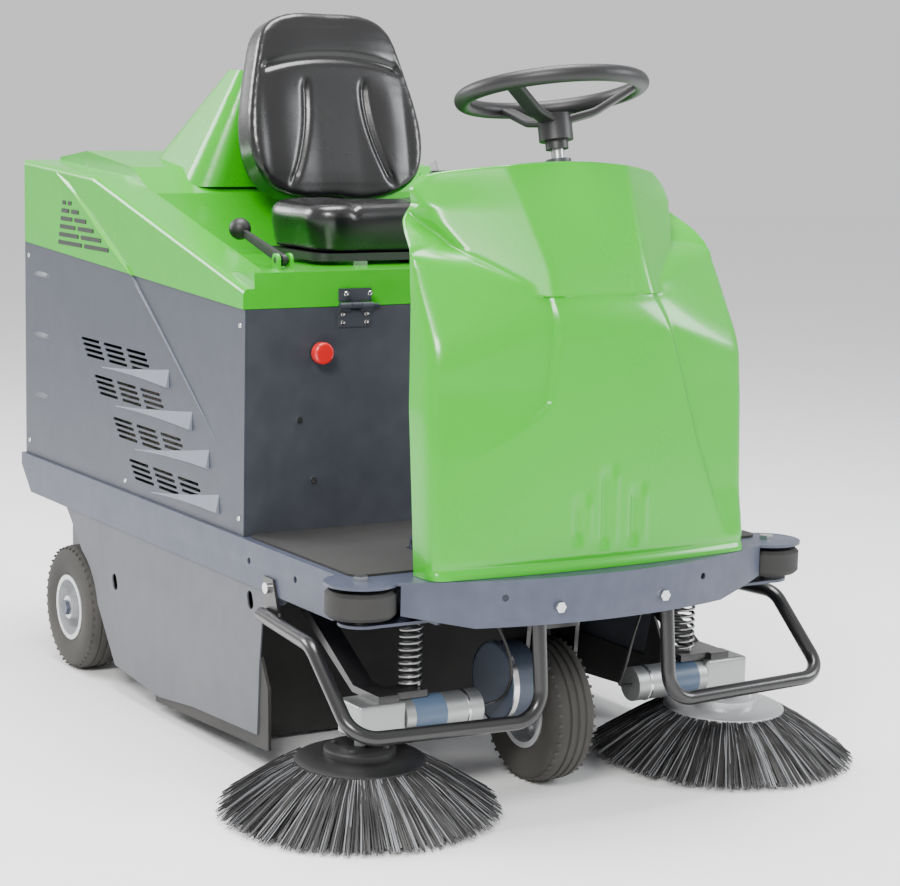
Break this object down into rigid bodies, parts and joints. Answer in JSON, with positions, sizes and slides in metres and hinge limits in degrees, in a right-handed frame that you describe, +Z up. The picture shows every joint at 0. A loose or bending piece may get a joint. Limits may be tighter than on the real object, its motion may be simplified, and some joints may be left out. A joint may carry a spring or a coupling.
{
  "type": "ride-on sweeper",
  "caption": "Ride-on floor sweeper with a moulded front cowl, hand wheel, sprung seat, tilting hood, side brushes, main roller brush and sliding dirt hopper.",
  "frame": {"origin": "on the floor, under the middle of the bounding box", "axes": "+Y towards the rear of the machine, so its nose faces -Y; +X towards its left side; +Z up"},
  "size_m": [1.2722, 1.6832, 1.3818],
  "materials": {
    "bright_green_plastic": "smooth satin moulded plastic",
    "blue_grey_paint": "powder coat, fine texture",
    "deck_paint": "powder coat",
    "skirt_paint": "powder coat",
    "dark_paint": "powder coat",
    "black_plastic": "fine grained",
    "black_rubber": "matte",
    "tyre_rubber": "matte with ribs",
    "silver_paint": "satin silver",
    "cast_metal": "cast",
    "steel": "turned",
    "bright_steel": "zinc plated",
    "motor_paint": "satin dark blue-grey",
    "red_plastic": "glossy",
    "black_vinyl": "glossy upholstery vinyl",
    "brush_bristle": "stiff bristles",
    "filter_paper": "pleated",
    "lead_cover": "smooth"
  },
  "bodies": {
    "chassis": {"chassis_frame": "deck_paint", "floor_mat": "black_rubber", "guard_right": "dark_paint", "guard_left": "dark_paint", "fasteners": "bright_steel", "skirt_right": "skirt_paint", "skirt_left": "skirt_paint", "side_flap_right": "black_rubber", "side_flap_left": "black_rubber", "front_flap": "black_rubber", "axle_bracket_right": "deck_paint", "axle_bracket_left": "deck_paint", "steering_chain": "steel", "steering_column": "dark_paint", "side_panel_right": "blue_grey_paint", "side_panel_left": "blue_grey_paint", "front_panel": "dark_paint", "rear_panel": "blue_grey_paint", "emergency_stop_base": "black_plastic", "battery_pack": "black_plastic", "dust_filter": "filter_paper", "main_brush_motor": "motor_paint", "arm_spring_right": "steel", "arm_spring_left": "steel", "motor_lead_right": "lead_cover", "motor_lead_left": "lead_cover", "hood_hinge_lower": "dark_paint", "front_cowl": "bright_green_plastic", "dash_panel": "black_plastic"},
    "fork": {"front_fork": "dark_paint", "drive_motor": "motor_paint"},
    "front_wheel": {"front_tyre": "tyre_rubber", "front_rim": "silver_paint"},
    "hand_wheel": {"steering_wheel": "black_plastic", "steering_shaft": "steel"},
    "lower_steering": {"lower_shaft": "steel"},
    "stop_button": {"emergency_stop_button": "red_plastic"},
    "dirt_hopper": {"hopper": "skirt_paint"},
    "main_sweeper": {"main_brush": "brush_bristle"},
    "housing_hood": {"hood": "bright_green_plastic", "hood_hinge_upper": "dark_paint", "seat_rails": "steel"},
    "seat": {"seat_base": "black_plastic", "seat_cushion": "black_vinyl", "seat_backrest": "black_vinyl"},
    "lever": {"lift_lever": "black_plastic"},
    "key": {"ignition_key": "bright_steel"},
    "pedal": {"drive_pedal": "black_rubber"},
    "roller_right": {"corner_roller_right": "black_rubber"},
    "rear_wheel_right": {"rear_tyre_right": "tyre_rubber", "rear_rim_right": "silver_paint"},
    "arm_right": {"brush_arm_right": "dark_paint", "brush_motor_right": "cast_metal"},
    "sweeping_disc_right": {"side_brush_right": "brush_bristle"},
    "roller_left": {"corner_roller_left": "black_rubber"},
    "rear_wheel_left": {"rear_tyre_left": "tyre_rubber", "rear_rim_left": "silver_paint"},
    "arm_left": {"brush_arm_left": "dark_paint", "brush_motor_left": "cast_metal"},
    "sweeping_disc_left": {"side_brush_left": "brush_bristle"}
  },
  "joints": [
    {"name": "roller_spin_right", "type": "hinge", "parent": "chassis", "child": "roller_right", "pos_m": [-0.424, -0.65, 0.384], "axis": [0, 0, 1], "continuous": true},
    {"name": "rear_wheel_spin_right", "type": "hinge", "parent": "chassis", "child": "rear_wheel_right", "pos_m": [-0.4045, 0.571, 0.13], "axis": [1, 0, 0], "continuous": true},
    {"name": "arm_lift_right", "type": "hinge", "parent": "chassis", "child": "arm_right", "pos_m": [-0.35, -0.3, 0.33], "axis": [-1, 0, 0], "range_deg": [0, 8], "deforming": ["arm_spring_right", "motor_lead_right"]},
    {"name": "side_brush_spin_right", "type": "hinge", "parent": "arm_right", "child": "sweeping_disc_right", "pos_m": [-0.386, -0.588, 0.00827], "axis": [-0.013, -0.026, 0.9996], "continuous": true},
    {"name": "roller_spin_left", "type": "hinge", "parent": "chassis", "child": "roller_left", "pos_m": [0.424, -0.65, 0.384], "axis": [0, 0, 1], "continuous": true},
    {"name": "rear_wheel_spin_left", "type": "hinge", "parent": "chassis", "child": "rear_wheel_left", "pos_m": [0.4045, 0.571, 0.13], "axis": [1, 0, 0], "continuous": true},
    {"name": "arm_lift_left", "type": "hinge", "parent": "chassis", "child": "arm_left", "pos_m": [0.35, -0.3, 0.33], "axis": [-1, 0, 0], "range_deg": [0, 8], "deforming": ["arm_spring_left", "motor_lead_left"]},
    {"name": "side_brush_spin_left", "type": "hinge", "parent": "arm_left", "child": "sweeping_disc_left", "pos_m": [0.386, -0.588, 0.00827], "axis": [0.013, -0.026, 0.9996], "continuous": true},
    {"name": "fork_steer", "type": "hinge", "parent": "chassis", "child": "fork", "pos_m": [0, -0.551, 0.3], "axis": [0, 0, 1], "range_deg": [-60, 60]},
    {"name": "hand_wheel_turn", "type": "hinge", "parent": "chassis", "child": "hand_wheel", "pos_m": [0, -0.54, 1.222], "axis": [0, 0.2267, 0.974], "range_deg": [-150, 150]},
    {"name": "lower_shaft_turn", "type": "hinge", "parent": "chassis", "child": "lower_steering", "pos_m": [0, -0.66148, 0.5], "axis": [0, 0, 1], "range_deg": [-150, 150]},
    {"name": "front_wheel_spin", "type": "hinge", "parent": "fork", "child": "front_wheel", "pos_m": [0, -0.551, 0.13], "axis": [1, 0, 0], "continuous": true},
    {"name": "stop_press", "type": "slide", "parent": "chassis", "child": "stop_button", "axis": [0, 1, 0], "range_m": [0, 0.005], "stiffness_N_per_m": 600, "springref_m": -0.004},
    {"name": "hopper_slide", "type": "slide", "parent": "chassis", "child": "dirt_hopper", "axis": [0, 1, 0], "range_m": [0, 0.45]},
    {"name": "main_brush_spin", "type": "hinge", "parent": "chassis", "child": "main_sweeper", "pos_m": [0, 0.06, 0.131], "axis": [1, 0, 0], "continuous": true},
    {"name": "hood_tilt", "type": "hinge", "parent": "chassis", "child": "housing_hood", "pos_m": [0, -0.2365, 0.831], "axis": [1, 0, 0], "range_deg": [0, 40]},
    {"name": "seat_slide", "type": "slide", "parent": "housing_hood", "child": "seat", "axis": [0, -1, 0], "range_m": [0, 0.12]},
    {"name": "lever_pull", "type": "hinge", "parent": "housing_hood", "child": "lever", "pos_m": [-0.3, -0.115, 0.906], "axis": [1, 0, 0], "range_deg": [0, 55]},
    {"name": "key_turn", "type": "hinge", "parent": "chassis", "child": "key", "pos_m": [-0.18, -0.462, 1.067], "axis": [0, 0.4691, 0.8831], "range_deg": [0, 90]},
    {"name": "pedal_press", "type": "hinge", "parent": "chassis", "child": "pedal", "pos_m": [-0.17, -0.47, 0.436], "axis": [1, 0, 0], "range_deg": [0, 14], "stiffness_Nm_per_rad": 4, "springref_deg": -11.46}
  ],
  "couplings": [
    {"joint": "hand_wheel_turn", "follows": "fork_steer", "ratio": 2.5},
    {"joint": "lower_shaft_turn", "follows": "fork_steer", "ratio": 2.5}
  ]
}
